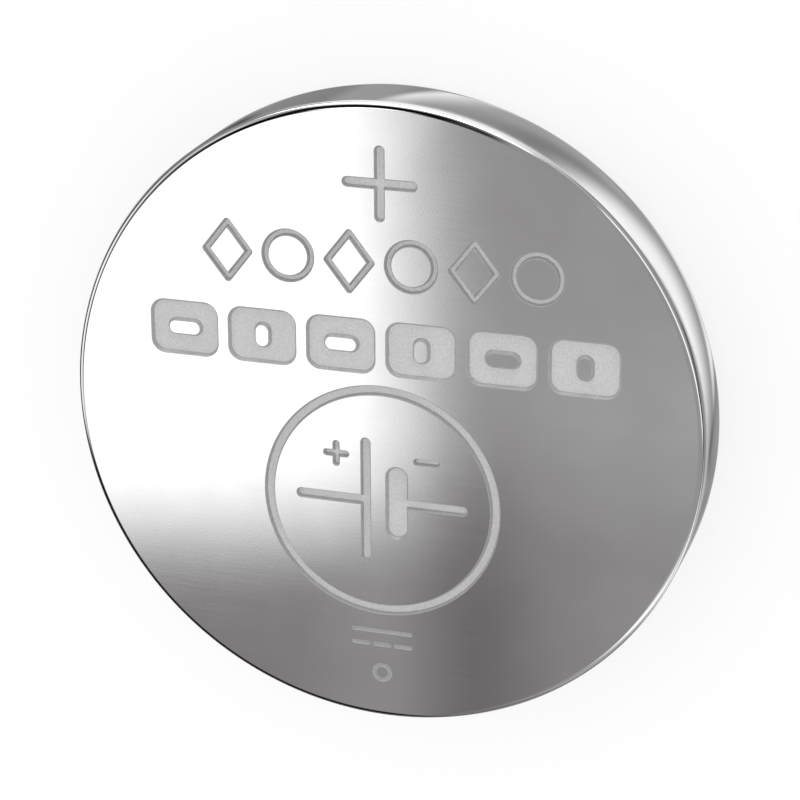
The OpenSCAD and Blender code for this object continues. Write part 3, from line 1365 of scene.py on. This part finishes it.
@dataclass
class LightTent:
    """Dome of plain pale cloth with soft panels, which lights the cell and which the camera looks through."""

    masks: PanelMasks
    radius: float = 5000.0
    axis: Vector = field(default_factory=lambda: Vector((-0.285, -0.357, 0.89)).normalized())
    camera_x: float = 24.54
    camera_y: float = 30.77
    camera_rise: float = 74.65
    base_level: float = 0.55
    lowest_rise: float = 0.05
    shade_tint: Colour = (1.05, 0.975, 0.99)
    tint_ends: Point = (0.15, 0.55)
    ceiling: list[CeilingPanel] = field(default_factory=lambda: [
        CeilingPanel("upper right grey", 0.451, -60.0, 5.0, 9.88, 2.49, 2.43, 6.0, 60.0, 5.0),
        CeilingPanel("lower grey", 0.404, -60.0, 5.0, 60.0, 5.0, -60.0, 5.0, -1.485, 2.323),
        CeilingPanel("lower left", 0.321, -60.0, 5.0, -1.78, 1.0, -60.0, 5.0, -5.0, 2.0),
        CeilingPanel("dark stripe", 0.05, 1.84, 1.663, 3.548, 5.0, -60.0, 5.0, -1.263, 5.268),
        CeilingPanel("key", 1.9, -60.0, 5.0, 0.7, 2.484, -2.976, 2.664, 60.0, 5.0, -0.191),
    ])
    panels: list[SoftPanel] = field(default_factory=lambda: [
        SoftPanel("right grey", 0.447, 15.8, 56.5, 4.31, 11.88, 1.20, 110.0, 11.88),
        SoftPanel("lower right grey", 0.267, -83.1, 12.9, 4.24, 22.2, 0.68, 78.5, 6.83),
        SoftPanel("left shade", 0.054, 147.6, 45.2, 16.00, 8.00, 1.00, 28.7, 7.43),
        SoftPanel("left light", 1.52, 168.8, 40.2, 15.86, 31.4, 6.39, 66.0, 2.14),
        SoftPanel("left low grey", 0.1, 194.7, 42.7, 16.00, 60.2, 1.23, 100.4, 9.92),
        SoftPanel("top band", 2.58, 108.2, 11.9, 10.76, 61.0, 10.34, 180.0, 2.00),
        SoftPanel("top glow", 7.63, 109.2, 31.3, 11.60, 90.1, 1.38, 180.0, 2.00),
        SoftPanel("top flag", 0.005, 100.8, 24.2, 9.06, 8.00, 1.00, 72.6, 15.23),
        SoftPanel("top left flag", 0.005, 124.7, 24.8, 7.93, 8.00, 1.00, 50.9, 10.04),
        SoftPanel("top gap", 2.62, 99.8, 8.7, 3.04, 10.35, 1.19, 20.6, 2.00),
        SoftPanel("lower flag", 0.005, -123.3, 34.1, 3.19, 18.62, 2.86, 61.1, 3.00),
        SoftPanel("corner strip", 2.41, -41.1, 4.0, 13.15, 18.03, 6.27, 78.9, 8.48),
        SoftPanel("right strip", 1.93, 20.1, 28.9, 3.00, 76.0, 7.07, 92.4, 12.45),
        SoftPanel("right flag", 0.005, -20.1, 20.2, 3.08, 88.0, 0.81, 130.0, 8.00),
        SoftPanel("top right edge", 0.026, 76.7, 3.6, 3.10, 16.71, 0.69, 55.9, 4.97),
        SoftPanel("left glow", 0.305, 149.8, 14.8, 9.40, 29.7, 4.53, 40.3, 6.57),
    ])

    def _axes(self) -> tuple[Vector, Vector]:
        """Two axes across the tent's axis.

        Returns:
            The axis of angle zero and the axis of angle 90 degrees.
        """
        across = (Vector((1.0, 0.0, 0.0)) - self.axis * self.axis.x).normalized()
        return across, self.axis.cross(across)

    def _cloth(self) -> bpy.types.Material:
        """Builds the tent's glowing cloth.

        Returns:
            The material.
        """
        material, graph, glow = Finish.start_glow("tent_cloth")
        way = graph.vector("NORMALIZE", graph.spot())["Vector"]
        first, second = (graph.vector("DOT_PRODUCT", way, axis)["Value"] for axis in self._axes())
        height = graph.vector("DOT_PRODUCT", way, self.axis)["Value"]
        angle = graph.math("MULTIPLY", graph.math("ARCTAN2", second, first), DEGREES)
        tilt = graph.math("MULTIPLY", graph.math("ARCCOSINE", height), DEGREES)
        parts = graph.add("SeparateXYZ")
        graph.feed(parts.inputs[0], way)
        up = graph.math("MAXIMUM", parts.outputs["Z"], self.lowest_rise)
        x, y = (graph.math("MULTIPLY_ADD", graph.math("DIVIDE", parts.outputs[name], up), self.camera_rise, start)
                for name, start in (("X", self.camera_x), ("Y", self.camera_y)))
        level = self.masks.lay(graph, self.masks.overhead, self.base_level, self.ceiling, x=x, y=y)
        level = self.masks.lay(graph, self.masks.around, level, self.panels, angle=angle, reach=tilt)
        graph.feed(glow.inputs["Color"], graph.tint(graph.ramp(level, *self.tint_ends), self.shade_tint, WHITE))
        graph.feed(glow.inputs["Strength"], level)
        graph.show(glow)
        return material

    def build(self) -> bpy.types.Object:
        """Builds the tent.

        Returns:
            The dome, which only reflections see.
        """
        work = bmesh.new()
        bmesh.ops.create_uvsphere(work, u_segments=48, v_segments=24, radius=self.radius)
        bmesh.ops.bisect_plane(work, geom=work.verts[:] + work.edges[:] + work.faces[:], plane_co=(0.0, 0.0, 0.0),
                               plane_no=(0.0, 0.0, 1.0), clear_inner=True)
        bmesh.ops.reverse_faces(work, faces=work.faces[:])
        dome = Maker.finish_mesh(work, "light_tent")
        dome.data.materials.append(self._cloth())
        Maker.leave_to_reflections(dome)
        LOG.info("light tent: %d panels", len(self.panels) + len(self.ceiling))
        return dome


@dataclass
class PaintedReflectionCard:
    """Flat glowing card round the cell's foot, a little over the floor, which only mirror reflections see. It is a
    painted reflection of the floor: painted contact shade by the foot, and painted highlights and painted shade in
    its panels.
    """

    masks: PanelMasks
    inner: float = 8.9
    outer: float = 200.0
    fade: float = 40.0
    steps: int = 192
    lift: float = -0.005
    # Painted contact shade of the floor's reflection: a level by the foot that falls to the painted shade level
    # farther out.
    near_level: float = 0.754
    near_end: float = 9.9
    painted_shade_level: float = 0.294
    painted_shade_start: float = 10.255
    # Painted highlights and painted shade of the floor's reflection, laid over the painted contact shade.
    panels: list[SoftPanel] = field(default_factory=lambda: [
        SoftPanel("far floor", 0.503, -0.0, 190.0, 3.00, 35.5, 3.69, 400.0, 10.00),
        SoftPanel("left near", 0.85, -124.4, 50.7, 6.12, 10.70, 0.30, 18.0, 4.41),
        SoftPanel("left far", 0.02, -146.7, 59.8, 15.78, 15.0, 2.37, 177.7, 18.09),
        SoftPanel("back light", 0.676, 164.1, 15.7, 4.59, 10.60, 0.65, 19.2, 1.46),
        SoftPanel("corner streak", 1.67, -32.6, 10.6, 13.61, 13.94, 2.25, 127.0, 25.4),
        SoftPanel("right line", 0.005, -3.7, 10.3, 4.16, 19.59, 1.48, 120.4, 19.41),
        SoftPanel("front bright ring", 1.393, 17.5, 40.0, 8.1, 10.636, 0.321, 12.5, 0.215, -0.005),
        SoftPanel("front bright side", 1.849, 15.9, 21.1, 12.2, 10.278, 0.6, 10.41, 0.055, -0.003),
        SoftPanel("bright streak", 0.507, 68.1, 17.8, 5.75, 9.954, 0.357, 10.928, 0.6, 0.008),
        SoftPanel("thin streak", 1.9, 86.3, 14.7, 11.6, 10.451, 0.105, 10.54, 0.508, 0.035),
        SoftPanel("dark edge", 0.222, 53.4, 17.7, 14.0, 10.558, 0.204, 10.856, 0.402, 0.011),
        SoftPanel("top light", 1.432, 74.9, 37.7, 14.0, 11.053, 0.064, 44.0, 4.0, -0.007),
        SoftPanel("outer shade", 0.411, 22.0, 40.0, 14.0, 10.985, 0.042, 33.7, 4.0, 0.011),
        SoftPanel("far shade", 0.444, 103.7, 17.8, 11.4, 10.597, 0.265, 11.578, 0.236, 0.08),
        SoftPanel("right shade", 0.099, 0.1, 11.9, 2.7, 10.223, 0.511, 10.491, 0.063, -0.015),
        SoftPanel("right grey", 0.637, -16.9, 15.0, 1.5, 10.407, 0.071, 11.028, 0.337, 0.015),
        SoftPanel("near line", 0.05, 18.0, 4.0, 3.0, 11.25, 0.15, 12.6, 0.4),
        SoftPanel("middle line", 0.05, 15.0, 4.0, 3.0, 12.2, 0.5, 14.6, 0.8),
        SoftPanel("far line", 0.05, 8.0, 4.0, 3.0, 14.2, 0.8, 19.5, 2.0),
        SoftPanel("back left shade", 0.06, 130.5, 9.0, 4.0, 10.2, 0.15, 11.4, 0.3),
    ])

    def build(self) -> bpy.types.Object:
        """Builds the card.

        Returns:
            The card.
        """
        work = bmesh.new()
        for reach in (self.inner, self.outer):
            bmesh.ops.create_circle(work, cap_ends=False, segments=self.steps, radius=reach)
        bmesh.ops.bridge_loops(work, edges=work.edges[:])
        bmesh.ops.recalc_face_normals(work, faces=work.faces[:])
        bmesh.ops.translate(work, vec=(0.0, 0.0, self.lift), verts=work.verts[:])
        card = Maker.finish_mesh(work, "painted_reflection_card")
        card.data.materials.append(self._material())
        Maker.leave_to_reflections(card)
        card.visible_transmission = False
        # The card glows with a painted reflection of the floor and its painted shade.
        LOG.info("foot card: %d panels", len(self.panels))
        return card

    def _material(self) -> bpy.types.Material:
        """Builds the card's glowing material, a painted reflection of the floor with painted shade by the foot,
        which fades into the floor.

        Returns:
            The material.
        """
        material, graph, glow = Finish.start_glow("painted_floor_reflection")
        parts = graph.add("SeparateXYZ")
        graph.feed(parts.inputs[0], graph.spot())
        x, y = parts.outputs["X"], parts.outputs["Y"]
        square = graph.math("ADD", graph.math("MULTIPLY", x, x), graph.math("MULTIPLY", y, y))
        reach = graph.math("MULTIPLY", graph.math("SQRT", square), 1.0 / MM)
        angle = graph.math("MULTIPLY", graph.math("ARCTAN2", y, x), DEGREES)
        # Painted contact shade: near_level by the foot, falling to the painted shade level past its start.
        level = graph.ramp(reach, self.near_end, self.painted_shade_start, self.near_level, self.painted_shade_level)
        level = self.masks.lay(graph, self.masks.around, level, self.panels, angle=angle, reach=reach)
        graph.feed(glow.inputs["Strength"], level)
        faded = graph.ramp(reach, self.outer - self.fade, self.outer - 0.1)
        graph.show(graph.pick(faded, glow, graph.add("BsdfTransparent")))
        return material


@dataclass
class Floor:
    """Plain white floor that keeps the cell's soft shadow, and that is clear from below."""

    half: float = 5500.0
    drop: float = 0.01
    shade: float = 0.28
    glow: float = 0.73

    def build(self) -> bpy.types.Object:
        """Builds the floor.

        Returns:
            The floor.
        """
        work = bmesh.new()
        bmesh.ops.create_grid(work, x_segments=1, y_segments=1, size=self.half)
        bmesh.ops.translate(work, vec=(0.0, 0.0, -self.drop), verts=work.verts[:])
        floor = Maker.finish_mesh(work, "floor")
        floor.data.materials.append(self._material())
        LOG.info("floor: plain white, with the cell's shadow")
        return floor

    def _material(self) -> bpy.types.Material:
        """Builds the floor's material: pale and matt, lifted to white for what looks at it.

        Returns:
            The material.
        """
        material, graph, matt = Finish.start("white_floor")
        matt.inputs["Base Color"].default_value = (self.shade, self.shade, self.shade, 1.0)
        matt.inputs["Roughness"].default_value = 1.0
        matt.inputs["Specular IOR Level"].default_value = 0.0
        path = graph.add("LightPath").outputs
        seen = graph.math("MAXIMUM", path["Is Camera Ray"], path["Is Glossy Ray"])
        seen = graph.math("MAXIMUM", seen, path["Is Transmission Ray"])
        glow = graph.add("Emission")
        graph.feed(glow.inputs["Strength"], graph.math("MULTIPLY", seen, self.glow))
        both = graph.add("AddShader")
        graph.feed(both.inputs[0], matt.outputs[0])
        graph.feed(both.inputs[1], glow.outputs[0])
        below = graph.add("NewGeometry").outputs["Backfacing"]
        graph.show(graph.pick(below, both, graph.add("BsdfTransparent")))
        return material


@dataclass
class Studio:
    """Camera, world and view settings."""

    lens: float = 124.97
    sensor: float = 36.0
    sight: Point = (0.001, 20.0)
    place: Vector = field(default_factory=lambda: Vector((0.02452358, 0.03078824, 0.07785209)))
    right: Vector = field(default_factory=lambda: Vector((0.95273287, -0.00332404, -0.3037911)))
    up: Vector = field(default_factory=lambda: Vector((-0.10559031, 0.93398069, -0.341366)))
    back: Vector = field(default_factory=lambda: Vector((0.28486974, 0.35730801, 0.88948312)))

    def build(self) -> None:
        """Makes the camera and the world, and sets the view."""
        scene = bpy.context.scene
        lens = bpy.data.cameras.new("camera")
        lens.sensor_width = self.sensor
        lens.lens = self.lens
        lens.clip_start, lens.clip_end = self.sight
        camera = bpy.data.objects.new("camera", lens)
        scene.collection.objects.link(camera)
        turn = Matrix((self.right, self.up, self.back)).transposed()
        camera.matrix_world = Matrix.Translation(self.place) @ turn.to_4x4()
        scene.camera = camera
        scene.view_settings.view_transform = "Standard"
        world = bpy.data.worlds.new("world")
        world.use_nodes = True
        sky = world.node_tree.nodes["Background"]
        sky.inputs["Color"].default_value = (*WHITE, 1.0)
        sky.inputs["Strength"].default_value = 1.0
        scene.world = world
        LOG.info("camera: %.2f mm lens, %.1f mm from the cell", self.lens, self.place.length / MM)


def main() -> None:
    """Builds the cell's looks round the frame, then the stage."""
    logging.basicConfig(level=logging.INFO, format="%(name)s: %(message)s")
    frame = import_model()
    effects = SharedEffects()
    PositiveCan(effects).build()
    SealingGasket(effects).build()
    NegativeCap(effects).build()
    Electrodes(effects, frame["nodes"]).dress()
    masks = PanelMasks()
    LightTent(masks).build()
    Floor().build()
    PaintedReflectionCard(masks).build()
    Studio().build()


if __name__ == "__main__":
    main()
